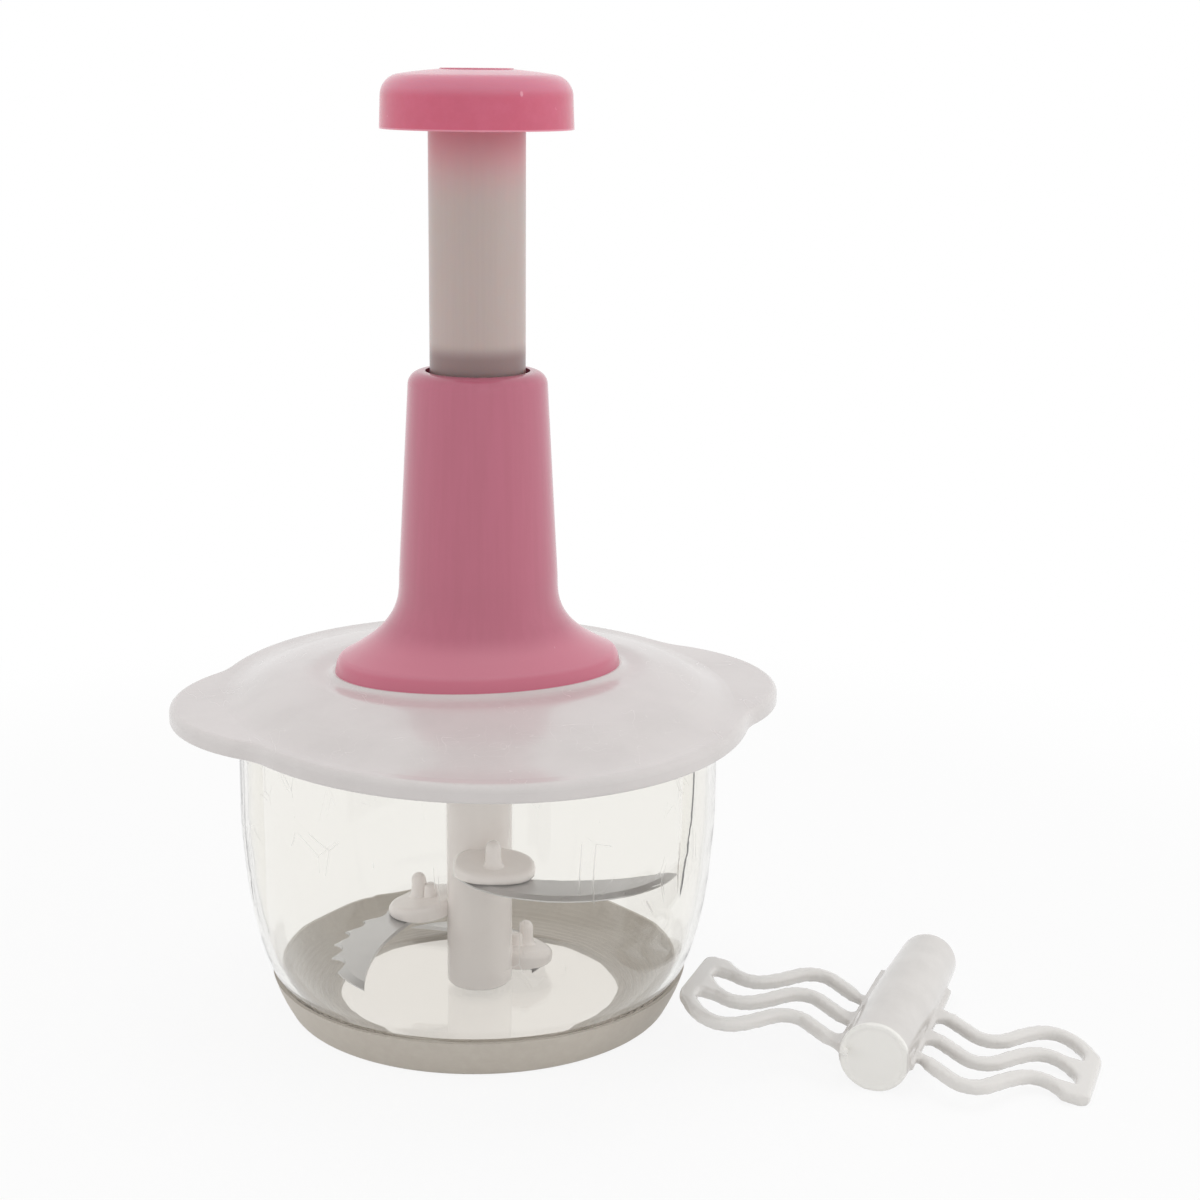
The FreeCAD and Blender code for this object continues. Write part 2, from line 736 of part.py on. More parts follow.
# ------------------------------------------------------ twisted rod, nut and clutch
def twisted_strip(bottom, top, margin):
    """A flat strip that turns once in each lead, lofted through turned sections.

    The twist is left-handed, so that a press turns the blades' ground edges forward.
    """
    rise = lead * twist_step / 360.0
    count = max(2, int(round((top - bottom) / rise)))
    half_w = rod_width / 2 + margin
    half_t = rod_thickness / 2 + margin
    sections = []
    for i in range(count + 1):
        level = bottom + (top - bottom) * i / count
        corners = [V(half_w, half_t, level), V(-half_w, half_t, level)]
        corners += [V(-half_w, -half_t, level), V(half_w, -half_t, level)]
        section = Part.makePolygon(corners + corners[:1])
        sections.append(turned(section, -360.0 * (level - twist_bottom) / lead))
    return Part.makeLoft(sections, True, False)


journal = disc(rod_journal_radius, driver_top, twist_bottom)
tang = slab(tang_size, tang_size, driver_bottom, driver_top)
save("twisted_rod", fuse([twisted_strip(twist_bottom, rod_top, 0), journal, tang]))

nut = disc(tube_bore, nut_bottom, nut_top)
slot = twisted_strip(nut_bottom - nut_drop, nut_top + nut_drop, nut_clearance)
save("drive_nut", nut.cut(slot))


def clutch_teeth(level, direction):
    """Saw teeth on a clutch face: upright on the driving side, sloped behind."""
    root = V(clutch_tooth_root, 0, level)
    heel = root - V(0, clutch_tooth_width * direction, 0)
    tip = root + UP * (clutch_tooth * direction)
    flank = Part.Face(Part.makePolygon([root, heel, tip, root]))
    length = clutch_radius - clutch_tooth_root - clutch_tooth_inset
    return around(flank.extrude(V(length, 0, 0)), clutch_tooth_count)


driver_teeth = [turned(tooth, clutch_backlash) for tooth in clutch_teeth(driver_bottom, -1)]
driver = disc(clutch_radius, driver_bottom, driver_top).cut(tang)
save("clutch_driver", fuse([driver] + driver_teeth))

coupling = [hexagon(hex_across, hex_bottom, journal_bottom)]
coupling.append(disc(journal_radius, journal_bottom, coupling_top))
coupling.append(disc(clutch_radius, coupling_disc_bottom, coupling_top))
clip_seat = journal_radius - clip_groove
groove = ring(journal_radius, clip_seat, clip_bottom, clip_top)
save("drive_coupling", fuse(coupling + clutch_teeth(coupling_top, 1)).cut(groove))

clip = ring(clip_radius, clip_seat, clip_bottom, clip_top)
opening = slab(clip_radius, clip_opening, clip_bottom, clip_top, clip_radius / 2)
save("coupling_clip", clip.cut(opening))

save("spring_washer", ring(washer_radius, rod_journal_radius + free_gap, crown, spring_bottom))


def return_spring():
    """A round-wire compression spring between the washer and the nut."""
    low = spring_bottom + wire_radius
    height = nut_bottom - wire_radius - low
    pitch = height / coil_turns
    helix = Part.makeHelix(pitch, height, coil_radius)
    helix.translate(UP * low)
    direction = V(0, 1, pitch / (2 * pi * coil_radius))
    section = Part.Wire(Part.Circle(V(coil_radius, 0, low), direction, wire_radius).toShape())
    return Part.Wire(helix.Edges).makePipeShell([section], True, True)


save("return_spring", return_spring())


# -------------------------------------------------------------- blade shaft, blades
def blade(form, level, angle, scalloped=False):
    """A crescent of sheet steel, ground along its outer edge, with two stake holes."""
    tip_angle, tip_gap, outer_bow, inner_bow = form
    wall = bowl_inside.slice(UP, level)[0].BoundBox.XMax
    reach = wall - tip_gap
    tail = V(blade_tail[0], blade_tail[1], 0)
    tip = V(reach * cos(radians(tip_angle)), reach * sin(radians(tip_angle)), 0)
    chord = (tip - tail).normalize()
    side = V(chord.y, -chord.x, 0)
    middle = (tail + tip) * 0.5
    outer = arc(tail, middle + side * outer_bow, tip)
    inner = arc(tip, middle + side * inner_bow, tail)
    sheet = Part.Face(Part.Wire([outer, inner])).extrude(UP * blade_thickness)
    centre = outer.Curve.Center
    radius = outer.Curve.Radius
    bevel_points = [centre + V(radius, 0, blade_thickness - bevel_depth),
                    centre + V(radius, 0, blade_thickness),
                    centre + V(radius - bevel_width, 0, blade_thickness)]
    bevel = Part.Face(Part.makePolygon(bevel_points + bevel_points[:1]))
    cuts = [bevel.revolve(centre, UP, 360)]
    cuts += [disc(stake_radius, 0, blade_thickness, x, y) for x, y in blade_stakes]
    if scalloped:
        span = outer.LastParameter - outer.FirstParameter
        for share in scallop_shares:
            edge_point = outer.valueAt(outer.FirstParameter + span * share)
            outward = (edge_point - centre).normalize()
            hollow = edge_point + outward * (scallop_radius - scallop_depth)
            cuts.append(disc(scallop_radius, 0, blade_thickness, hollow.x, hollow.y))
    sheet = sheet.cut(cuts)
    sheet.translate(UP * (level - blade_thickness))
    return turned(sheet, angle)


def hub(level, angle):
    """A moulded hub on the shaft's side: sloping pad, peg, low stub and two stakes."""
    pad_middle = level + hub_height / 2
    pad_x = shaft_radius + hub_reach
    above = slab(4 * hub_radius, 4 * hub_radius, 0, 2 * hub_rise)
    above = turned(above, degrees(atan2(hub_rise, 2 * hub_radius)), V(0, 1, 0))
    above.translate(V(pad_x, 0, level + hub_height + hub_rise / 2))
    pad = disc(hub_radius, level, level + hub_height + 1.5 * hub_rise, pad_x).cut(above)
    top_edges = [edge for edge in pad.Edges if edge.BoundBox.ZMin > pad_middle]
    pad = pad.makeFillet(hub_round, top_edges)
    pad = pad.makeFillet(hub_foot_round, edges_at(pad, level))
    stub_top = level + stub_height
    stub = disc(stub_radius, pad_middle, stub_top, shaft_radius + stub_reach)
    stub = stub.makeFillet(stub_round, edges_at(stub, stub_top))
    peg_x = shaft_radius + peg_reach
    tip_level = level + peg_height - peg_radius
    pieces = [pad, stub, disc(peg_radius, pad_middle, tip_level, peg_x)]
    pieces.append(Part.makeSphere(peg_radius, V(peg_x, 0, tip_level)))
    underside = level - blade_thickness
    for x, y in blade_stakes:
        pieces.append(disc(stake_radius, underside - stake_head, pad_middle, x, y))
        pieces.append(disc(stake_head_radius, underside - stake_head, underside, x, y))
    return turned(fuse(pieces), angle)


blade_shaft = disc(shaft_radius, shaft_bottom, shaft_top)
blade_shaft = blade_shaft.fuse([hub(level, angle) for level, angle in hubs])
foot_bore = disc(shaft_bore, shaft_bottom, socket_bottom - socket_floor)
save("blade_shaft", blade_shaft.cut([foot_bore, hexagon(socket_across, socket_bottom, shaft_top)]))
save("blade_upper", blade(upper_blade_form, upper_blade_height, upper_hub_angle))
save("blade_middle", blade(middle_blade_form, middle_blade_height, middle_hub_angle, scalloped=True))
save("blade_lower", blade(lower_blade_form, lower_blade_height, lower_hub_angle))
foot_bush_top = boss_top + foot_bush_length
save("shaft_foot_bush", ring(shaft_bore, pin_radius + running, boss_top, foot_bush_top))


# ------------------------------------------------------------------------- whisk
def bar_side(row, offset):
    """One side of a wavy bar: its middle line, moved across by the offset."""
    level = paddle_middle + row * paddle_pitch
    middle = Part.BSplineCurve()
    middle.interpolate([V(x, level + y, 0) for x, y in bar_course])
    span = middle.LastParameter - middle.FirstParameter
    points = []
    for i in range(bar_steps + 1):
        place = middle.FirstParameter + span * i / bar_steps
        along = middle.tangent(place)[0]
        points.append(middle.value(place) + V(-along.y, along.x, 0) * offset)
    side = Part.BSplineCurve()
    side.interpolate(points)
    return side.toShape()


def between_bars(low, high, start, end, shelf):
    """The paddle's block from one bar side to another; its tip is cut off at the shelf."""
    lower = bar_side(*low)
    upper = bar_side(*high)
    lower_ends = [lower.valueAt(lower.FirstParameter), lower.valueAt(lower.LastParameter)]
    upper_ends = [upper.valueAt(upper.FirstParameter), upper.valueAt(upper.LastParameter)]
    closing = [line(upper_ends[1], lower_ends[1]), line(lower_ends[0], upper_ends[0])]
    block = Part.Face(Part.Wire([upper, closing[0], lower, closing[1]])).extrude(UP * paddle_thickness)
    span = 4 * paddle_pitch
    window = slab(end - start, 2 * span, 0, paddle_thickness, (start + end) / 2, paddle_middle)
    tip = slab(end - shelf_start, span, 0, paddle_thickness, (shelf_start + end) / 2, shelf - span / 2)
    return block.common(window).cut(tip)


def round_corner(block, distance, radius, place):
    """Round an upright corner at one distance: the nearest with place 0, the farthest with -1."""
    corners = []
    for edge in upright_edges(block):
        if abs(edge.CenterOfMass.x - distance) < tolerance:
            corners.append(edge)
    corners.sort(key=lambda corner: corner.CenterOfMass.y)
    return block.makeFillet(radius, [corners[place]])


def paddle():
    """A flat paddle of three wavy bars: one outline with two slots in it."""
    half = bar_width / 2
    shelf = paddle_middle - paddle_pitch + paddle_shelf
    plate = between_bars((-1, -half), (1, half), paddle_root, paddle_reach, shelf)
    plate = round_corner(plate, paddle_reach, paddle_small_round, 0)
    plate = round_corner(plate, paddle_reach, paddle_round, -1)
    slots = []
    for row in (-1, 0):
        shelf = paddle_middle + row * paddle_pitch + slot_shelf
        slot = between_bars((row, half), (row + 1, -half), slot_start, slot_end, shelf)
        for distance, radii in ((slot_start, slot_root_rounds), (slot_end, slot_tip_rounds)):
            slot = round_corner(slot, distance, radii[0], 0)
            slot = round_corner(slot, distance, radii[1], -1)
        slots.append(slot)
    plate = plate.cut(slots)
    plate.translate(UP * (-paddle_thickness / 2))
    return plate


def whisk():
    """The whisk, lying on the table with one paddle's tip down."""
    along = V(0, 1, 0)
    body = Part.makeCone(whisk_radius, whisk_far_radius, whisk_length, CENTRE, along)
    far_edges = [edge for edge in body.Edges if edge.BoundBox.YMin > whisk_length - tolerance]
    body = body.makeFillet(whisk_end_round, far_edges)
    half = paddle_thickness / 2
    fin_middle = (fin_start + fin_end) / 2
    fins = slab(2 * fin_reach, fin_end - fin_start, -half, half, 0, fin_middle)
    paddles = [turned(paddle(), angle, centre=V(0, paddle_middle, 0)) for angle in (0, 180)]
    whole = fuse([body, fins] + paddles)
    face = Part.makeCylinder(whisk_radius - whisk_face_rim, whisk_face_recess, CENTRE, along)
    socket = turned(hexagon(socket_across, 0, hex_length), -90, V(1, 0, 0))
    socket.translate(along * (whisk_length - hex_length))
    whole = whole.cut([face, socket])
    lean = degrees(asin((whisk_radius - half) / paddle_reach))
    whole.rotate(CENTRE, along, lean)
    whole.rotate(CENTRE, UP, whisk_heading)
    distance = bowl_radius + whisk_distance
    bearing = radians(whisk_bearing)
    whole.translate(V(distance * cos(bearing), distance * sin(bearing), whisk_radius))
    return whole


save("whisk", whisk())
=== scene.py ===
import math

import bmesh
import bpy
from mathutils import Matrix, Vector


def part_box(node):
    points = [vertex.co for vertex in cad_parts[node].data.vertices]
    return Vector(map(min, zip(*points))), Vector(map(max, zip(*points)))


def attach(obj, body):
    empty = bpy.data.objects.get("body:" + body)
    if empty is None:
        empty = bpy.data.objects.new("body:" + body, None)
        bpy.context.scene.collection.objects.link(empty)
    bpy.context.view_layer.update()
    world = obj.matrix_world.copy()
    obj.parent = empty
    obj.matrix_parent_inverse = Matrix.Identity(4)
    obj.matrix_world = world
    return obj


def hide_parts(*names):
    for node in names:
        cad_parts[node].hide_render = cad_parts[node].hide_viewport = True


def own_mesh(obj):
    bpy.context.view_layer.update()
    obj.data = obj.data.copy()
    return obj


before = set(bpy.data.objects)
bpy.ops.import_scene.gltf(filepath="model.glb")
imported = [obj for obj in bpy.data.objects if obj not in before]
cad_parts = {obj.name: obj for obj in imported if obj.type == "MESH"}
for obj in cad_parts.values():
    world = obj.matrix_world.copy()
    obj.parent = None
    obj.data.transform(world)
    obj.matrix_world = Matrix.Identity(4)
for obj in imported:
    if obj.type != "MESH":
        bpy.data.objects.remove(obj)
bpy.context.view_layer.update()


# ---- Base ring
# A boot of soft warm-grey silicone, moulded in one piece and pushed on over the
# bowl's rounded bottom corner. It keeps the chopper from sliding; its skin is
# matt and slightly dusty, with a faint moulding line round it.
class Strand:
    """One output in a finish's nodes. Arithmetic on it adds Math nodes."""

    def __init__(self, tree, socket):
        self.tree = tree
        self.socket = socket

    def node(self, kind, settings=None, values=None, output=0):
        """Add a node: first its settings, then values or strands by socket."""
        made = self.tree.nodes.new("ShaderNode" + kind)
        for name, setting in (settings or {}).items():
            setattr(made, name, setting)
        for name, value in (values or {}).items():
            if isinstance(value, Strand):
                self.tree.links.new(value.socket, made.inputs[name])
            else:
                made.inputs[name].default_value = value
        return Strand(self.tree, made.outputs[output])

    def math(self, operation, *others):
        """A Math node on this strand and up to two more."""
        return self.node("Math", {"operation": operation}, dict(enumerate((self,) + others)))

    def __add__(self, other):
        return self.math("ADD", other)

    def __sub__(self, other):
        return self.math("SUBTRACT", other)

    def __rsub__(self, other):
        return self.math("MULTIPLY_ADD", -1.0, other)

    def __mul__(self, other):
        return self.math("MULTIPLY", other)

    def __pow__(self, other):
        return self.math("POWER", other)

    __radd__ = __add__
    __rmul__ = __mul__

    def stretched(self, x, y, z):
        """This place with each direction multiplied."""
        return self.node("VectorMath", {"operation": "MULTIPLY"}, {0: self, 1: (x, y, z)})

    def output(self, name):
        """Another output of the same node."""
        return Strand(self.tree, self.socket.node.outputs[name])

    def part(self, axis):
        """One of this vector's three numbers, by its letter."""
        return self.node("SeparateXYZ", {}, {0: self}, output="XYZ".index(axis))

    def grain(self, scale, detail=2.0, roughness=0.5):
        """Soft noise from 0 to 1; the scale is in grains per millimetre."""
        settings = {"noise_dimensions": "3D"}
        values = {"Vector": self, "Scale": scale, "Detail": detail, "Roughness": roughness}
        return self.node("TexNoise", settings, values)

    def between(self, low, high):
        """0 below one level and 1 above the other, with a smooth change."""
        settings = {"interpolation_type": "SMOOTHSTEP"}
        return self.node("MapRange", settings, {"Value": self, "From Min": low, "From Max": high})

    def colour(self, low, high):
        """A mix of two colours, by this mask. Inputs 6 and 7 and output 2 are the colours."""
        settings = {"data_type": "RGBA"}
        return self.node("Mix", settings, {0: self, 6: low, 7: high}, output=2)

    def bump(self, height, strength=1.0):
        """The surface normal with this strand as relief, its height in millimetres."""
        values = {"Height": self, "Strength": strength, "Distance": height / 1000}
        return self.node("Bump", {}, values)


def tone(red, green, blue):
    """A paint chip, 0 to 255 as a screen shows it, as a shader colour."""
    chip = [c / 255 for c in (red, green, blue)]
    linear = [c / 12.92 if c <= 0.04045 else ((c + 0.055) / 1.055) ** 2.4 for c in chip]
    return (*linear, 1.0)


def new_finish(name):
    """An empty finish, and the place on its piece in millimetres."""
    finish = bpy.data.materials.new(name)
    finish.use_nodes = True
    tree = finish.node_tree
    place = Strand(tree, tree.nodes.new("ShaderNodeTexCoord").outputs["Object"])
    return finish, place.stretched(1000, 1000, 1000)


def settle(finish, **sockets):
    """Set or link the finish's shader; underscores stand for spaces."""
    shader = finish.node_tree.nodes["Principled BSDF"]
    for name, value in sockets.items():
        socket = shader.inputs[name.replace("_", " ")]
        if isinstance(value, Strand):
            finish.node_tree.links.new(value.socket, socket)
        else:
            socket.default_value = value


def dress(finish, *nodes):
    """Put a finish on CAD nodes."""
    for node in nodes:
        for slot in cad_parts[node].material_slots:
            slot.material = finish


line_height = 6.2
clean_grey, dusty_grey = tone(201, 193, 182), tone(206, 199, 188)
silicone, place = new_finish("soft_grey_silicone")
dust = place.grain(0.35, 4.0, 0.6)
skin = place.grain(5.0)
from_line = (place.part("Z") - line_height).math("ABSOLUTE")
moulding_line = 1 - from_line.between(0.05, 0.3)
settle(silicone, Base_Color=dust.between(0.3, 0.75).colour(clean_grey, dusty_grey),
       Roughness=dust * 0.2 + 0.42,
       Normal=(skin * 0.25 + moulding_line).bump(0.05, 0.6))
dress(silicone, "base_ring")


# ---- Bowl
# Injection-moulded clear plastic, glossy inside and out, with two thin ribs
# inside the wall. Use has left fine crossing scratches, and the wall is never
# quite even, so that it bends what is seen through it a little.
def lamp_through(finish):
    """Let lamps and scattered light pass straight through a clear finish."""
    tree = finish.node_tree
    shader = Strand(tree, tree.nodes["Principled BSDF"].outputs[0])
    film = shader.node("BsdfTransparent", {}, {"Color": (0.97, 0.97, 0.97, 1)})
    path = shader.node("LightPath")
    passing = (path.output("Is Shadow Ray") + path.output("Is Diffuse Ray")).math("MINIMUM", 1.0)
    both = shader.node("MixShader", {}, {0: passing, 1: shader, 2: film})
    tree.links.new(both.socket, tree.nodes["Material Output"].inputs["Surface"])


# Painted shade: over the floor the clear plastic is painted darker, for the shadow on the table under the
# bowl.
floor_shade_starts, floor_shade_ends = 40.0, 55.0
floor_shade_clear, wall_clear = tone(238, 234, 229), tone(249, 248, 245)
clear_plastic, place = new_finish("clear_bowl_plastic")
level = place.part("Z")
scratch_cells = {"Vector": place.stretched(0.055, 0.055, 0.03), "Scale": 1.0}
from_scratch = place.node("TexVoronoi", {"feature": "DISTANCE_TO_EDGE"}, scratch_cells)
scuffed = place.grain(0.05, 3.0).between(0.54, 0.62) * level.between(20.0, 40.0)
scuffs = (1 - from_scratch.between(0.002, 0.008)) * scuffed
waves = place.grain(0.045, 1.0)
x, y = place.part("X"), place.part("Y")
# The floor's painted shade fades out between these two radii.
floor_shade = 1 - ((x * x + y * y) ** 0.5).between(floor_shade_starts, floor_shade_ends)
settle(clear_plastic, Base_Color=floor_shade.colour(wall_clear, floor_shade_clear),
       IOR=1.49, Transmission_Weight=1.0,
       Roughness=scuffs * 0.35,
       Normal=(waves + scuffs * 0.1).bump(0.06, 0.3))
lamp_through(clear_plastic)
dress(clear_plastic, "bowl")


# ---- Pin, screws, washer, clip and rod
# Small steel parts: a turned pin pressed into the bowl's floor, pan-head screws,
# a clip and a washer stamped from strip, and the twisted flat rod. All are plain
# bright steel with fine drawing lines.
bright_steel, place = new_finish("bright_steel")
drawn = place.stretched(3.0, 3.0, 0.3).grain(1.5, 3.0)
settle(bright_steel, Base_Color=tone(196, 196, 199), Metallic=1.0,
       Roughness=drawn * 0.18 + 0.2, Normal=drawn.bump(0.01, 0.5))
dress(bright_steel, "bowl_pin", "underplate_screws", "tower_screws", "knob_screw",
      "coupling_clip", "spring_washer", "twisted_rod")


# ---- Blade shaft
# One moulding of white glossy plastic: a hollow shaft with three side hubs, a peg
# and a low stub on each, and stakes that were melted over the blades. The surface
# has the slight ripple of thick plastic that shrank as it cooled.
shaft_radius = 9.75
shaft_bore = 7.55
shaft_edge = 0.5
shaft_steps = 96
shaft_bottom, shaft_top = (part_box("blade_shaft")[end][2] * 1000 for end in (0, 1))
bore_top = 69.1
socket_bottom = 71.1
socket_across = 9.2
# Each hub: its blade's top face, and its direction in degrees.
hubs = ((44.8, -90.0), (26.0, 150.0), (7.5, 30.0))
# Each pad, peg, stub and stake lies as on a hub that points along X, from its blade's top face.
pad_middle = (17.0, 0.8)
pad_turn = math.radians(-20)
pad_half_length, pad_half_width = 9.5, 12.0
pad_squareness = 2.3
pad_outer = 27.0
pad_edge_height = 2.7
pad_slope = 0.15
pad_foot_round = 0.9
pad_top_round = 1.7
inside_wall = 8.6
crease = math.radians(40)
stake_places = ((21.0, -3.5), (24.5, 4.5))
peg_place, stub_place = (19.2, 0.0), (15.5, 0.4)
# Profiles: radius and height, from the bottom up. The stakes' heads are below the blade.
peg_profile = ((3.3, 1.2), (3.3, 3.6), (2.75, 4.2), (2.4, 5.2), (2.25, 6.6), (2.2, 9.1),
               (2.1, 9.8), (1.75, 10.5), (1.2, 11.0), (0.6, 11.25))
stub_profile = ((2.3, 1.2), (2.3, 4.2), (2.0, 5.0), (1.9, 7.4), (1.75, 7.9), (1.35, 8.2))
stake_profile = ((1.9, -2.0), (2.4, -1.85), (2.6, -1.5), (2.6, -1.2), (1.6, -1.2), (1.6, 1.2))


def ring_of(radius, level, middle=(0, 0), steps=48):
    """Points on a level circle."""
    turns = [math.tau * i / steps for i in range(steps)]
    return [(middle[0] + radius * math.cos(turn), middle[1] + radius * math.sin(turn), level)
            for turn in turns]


def hexagon_of(across, level, steps=48):
    """Points round a level hexagon, with its corners among them if 6 divides the steps."""
    points = []
    for i in range(steps):
        turn = math.tau * i / steps
        from_flat = turn % (math.pi / 3) - math.pi / 6
        radius = across / 2 / math.cos(from_flat)
        points.append((radius * math.cos(turn), radius * math.sin(turn), level))
    return points


def pad_ring(inset, height, slope=0.0, drop=0.0, steps=72):
    """Points round a hub's pad, which may slope up towards the shaft."""
    points = []
    for i in range(steps):
        turn = math.tau * i / steps
        cosine, sine = math.cos(turn), math.sin(turn)
        length = (pad_half_length - inset) * math.copysign(abs(cosine) ** (2 / pad_squareness), cosine)
        width = (pad_half_width - inset) * math.copysign(abs(sine) ** (2 / pad_squareness), sine)
        x = pad_middle[0] + length * math.cos(pad_turn) - width * math.sin(pad_turn)
        y = pad_middle[1] + length * math.sin(pad_turn) + width * math.cos(pad_turn)
        reach = math.hypot(x, y)
        if reach < inside_wall + inset:
            x, y = x * (inside_wall + inset) / reach, y * (inside_wall + inset) / reach
        points.append((x, y, height + slope * (pad_outer - x) - drop))
    return points


def closed_shell(shape, rings, turn=0.0, level=0.0):
    """Join rings of equal count into a closed skin, turned about the shaft and raised."""
    spin = Matrix.Rotation(math.radians(turn), 3, "Z")
    lift = Vector((0, 0, level))
    loops = [[shape.verts.new((spin @ Vector(point) + lift) / 1000) for point in ring] for ring in rings]
    for low, high in zip(loops, loops[1:]):
        for i in range(len(low)):
            shape.faces.new((low[i - 1], low[i], high[i], high[i - 1]))
    shape.faces.new(reversed(loops[0]))
    shape.faces.new(loops[-1])


def new_piece(name, shape):
    """A piece whose mesh is the shape, with its skin facing outwards."""
    bmesh.ops.recalc_face_normals(shape, faces=shape.faces)
    mesh = bpy.data.meshes.new(name)
    shape.to_mesh(mesh)
    shape.free()
    piece = bpy.data.objects.new(name, mesh)
    bpy.context.scene.collection.objects.link(piece)
    return piece


shape = bmesh.new()
column = ((shaft_bore, bore_top), (shaft_bore, shaft_bottom),
          (shaft_radius - shaft_edge, shaft_bottom), (shaft_radius, shaft_bottom + shaft_edge),
          (shaft_radius, shaft_top - shaft_edge), (shaft_radius - shaft_edge, shaft_top))
rings = [ring_of(radius, height, steps=shaft_steps) for radius, height in column]
rings += [hexagon_of(socket_across, height, shaft_steps) for height in (shaft_top, socket_bottom)]
closed_shell(shape, rings)
shaft_moulding = new_piece("shaft_moulding", shape)

pad_rings = []
for bend in (0.0, math.pi / 6, math.pi / 3):
    pad_rings.append(pad_ring(pad_foot_round * (1 - math.sin(bend)), pad_foot_round * (1 - math.cos(bend))))
for bend in (0.0, math.pi / 8, math.pi / 4, 3 * math.pi / 8, math.pi / 2):
    pad_rings.append(pad_ring(pad_top_round * (1 - math.cos(bend)), pad_edge_height, pad_slope,
                              pad_top_round * (1 - math.sin(bend))))
shape = bmesh.new()
upright = [(peg_profile, peg_place), (stub_profile, stub_place)]
upright += [(stake_profile, place) for place in stake_places]
for level, turn in hubs:
    closed_shell(shape, pad_rings, turn, level)
    for profile, place in upright:
        closed_shell(shape, [ring_of(radius, height, place) for radius, height in profile], turn, level)
hub_shapes = new_piece("hub_shapes", shape)
join = shaft_moulding.modifiers.new("join", "BOOLEAN")
join.operation, join.solver, join.use_self = "UNION", "EXACT", True
join.object = hub_shapes
joined = bpy.data.meshes.new_from_object(shaft_moulding.evaluated_get(bpy.context.evaluated_depsgraph_get()))
shaft_moulding.modifiers.clear()
shaft_moulding.data = joined
bpy.data.objects.remove(hub_shapes)
joined.shade_smooth()
joined.set_sharp_from_angle(angle=crease)
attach(shaft_moulding, "blade_unit")
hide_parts("blade_shaft")

white_plastic, place = new_finish("white_gloss_plastic")
shrink = place.grain(0.12, 1.0)
peel = place.grain(2.2)
handled = place.grain(0.09, 5.0, 0.6)
settle(white_plastic, Base_Color=handled.between(0.35, 0.7).colour(tone(252, 246, 242), tone(247, 240, 236)),
       Roughness=handled * 0.14 + 0.16, Coat_Weight=0.25, Coat_Roughness=0.06,
       Normal=(shrink * 4.0 + peel * 0.12).bump(0.03, 0.5))
joined.materials.append(white_plastic)


# ---- Blades
# Three crescents stamped from stainless sheet 1.2 mm thick, ground on the outer
# edge and, on the middle blade, scalloped. Grinding leaves fine streaks that
# run along the blade.
blade_steel, place = new_finish("ground_blade_steel")
x, y = place.part("X"), place.part("Y")
reach = (x * x + y * y) ** 0.5
around = y.math("ARCTAN2", x)
lines = reach.node("CombineXYZ", {}, {0: reach * 3.0, 1: around * 2.0, 2: place.part("Z")})
streaks = lines.grain(1.0, 4.0, 0.7)
cloud = place.grain(0.15, 2.0)
settle(blade_steel, Base_Color=cloud.colour(tone(196, 195, 195), tone(206, 205, 205)), Metallic=1.0,
       Roughness=streaks * 0.1 + 0.24, Normal=streaks.bump(0.004, 0.5))
dress(blade_steel, "blade_upper", "blade_middle", "blade_lower")


# ---- Bushes, clutch and nut
# Bearing parts of natural acetal, turned or moulded: slightly translucent white,
# waxy to the touch, with fine tool rings. They are snapped or pressed in place.
acetal, place = new_finish("natural_acetal")
rings = place.stretched(0.4, 0.4, 6.0).grain(1.0)
settle(acetal, Base_Color=tone(233, 231, 224), Roughness=rings * 0.12 + 0.36,
       Subsurface_Weight=0.15, Subsurface_Scale=0.002, Normal=rings.bump(0.01, 0.4))
dress(acetal, "shaft_foot_bush", "coupling_bush", "guide_bush", "drive_nut",
      "clutch_driver", "drive_coupling")


# ---- Lid
# An oval white moulding with two ears, polished on top so that the tower is
# mirrored in it. Handling leaves faint hairlines. Its plug carries a soft
# seal, and a ribbed plate of satin white plastic is screwed in from below.
def hairlines(place, x, y, z, width):
    """Long thin curved scratches, stretched along the directions with low numbers."""
    field = place.stretched(x, y, z).grain(1.0, 1.0)
    return 1 - (field - 0.5).math("ABSOLUTE").between(0.0, width)


lid_plastic, place = new_finish("polished_white_lid")
shrink = place.grain(0.05, 1.0)
peel = place.grain(1.8)
handled = place.grain(0.05, 5.0, 0.6)
hair = hairlines(place, 0.03, 0.2, 0.3, 0.003) + hairlines(place, 0.16, 0.03, 0.3, 0.003)
hair = hair.math("MINIMUM", 1.0) * place.grain(0.04).between(0.5, 0.6)
lid_white, handled_white = tone(217, 212, 210), tone(212, 207, 205)
settle(lid_plastic, Base_Color=handled.between(0.35, 0.7).colour(lid_white, handled_white),
       Roughness=handled * 0.1 + hair * 0.06 + 0.2, Coat_Weight=0.15, Coat_Roughness=0.05,
       Normal=(shrink * 4.0 + peel * 0.03 - hair * 0.04).bump(0.03, 0.5))
dress(lid_plastic, "lid_shell")

plate_plastic, place = new_finish("satin_white_plate")
grain = place.grain(4.0, 3.0)
settle(plate_plastic, Base_Color=tone(231, 228, 224), Roughness=grain * 0.15 + 0.35,
       Normal=grain.bump(0.02, 0.5))
dress(plate_plastic, "lid_underplate")

seal_silicone, place = new_finish("clear_seal_silicone")
settle(seal_silicone, Base_Color=tone(222, 220, 215), Roughness=place.grain(0.8) * 0.2 + 0.4,
       Subsurface_Weight=0.3, Subsurface_Scale=0.003)
dress(seal_silicone, "lid_seal")
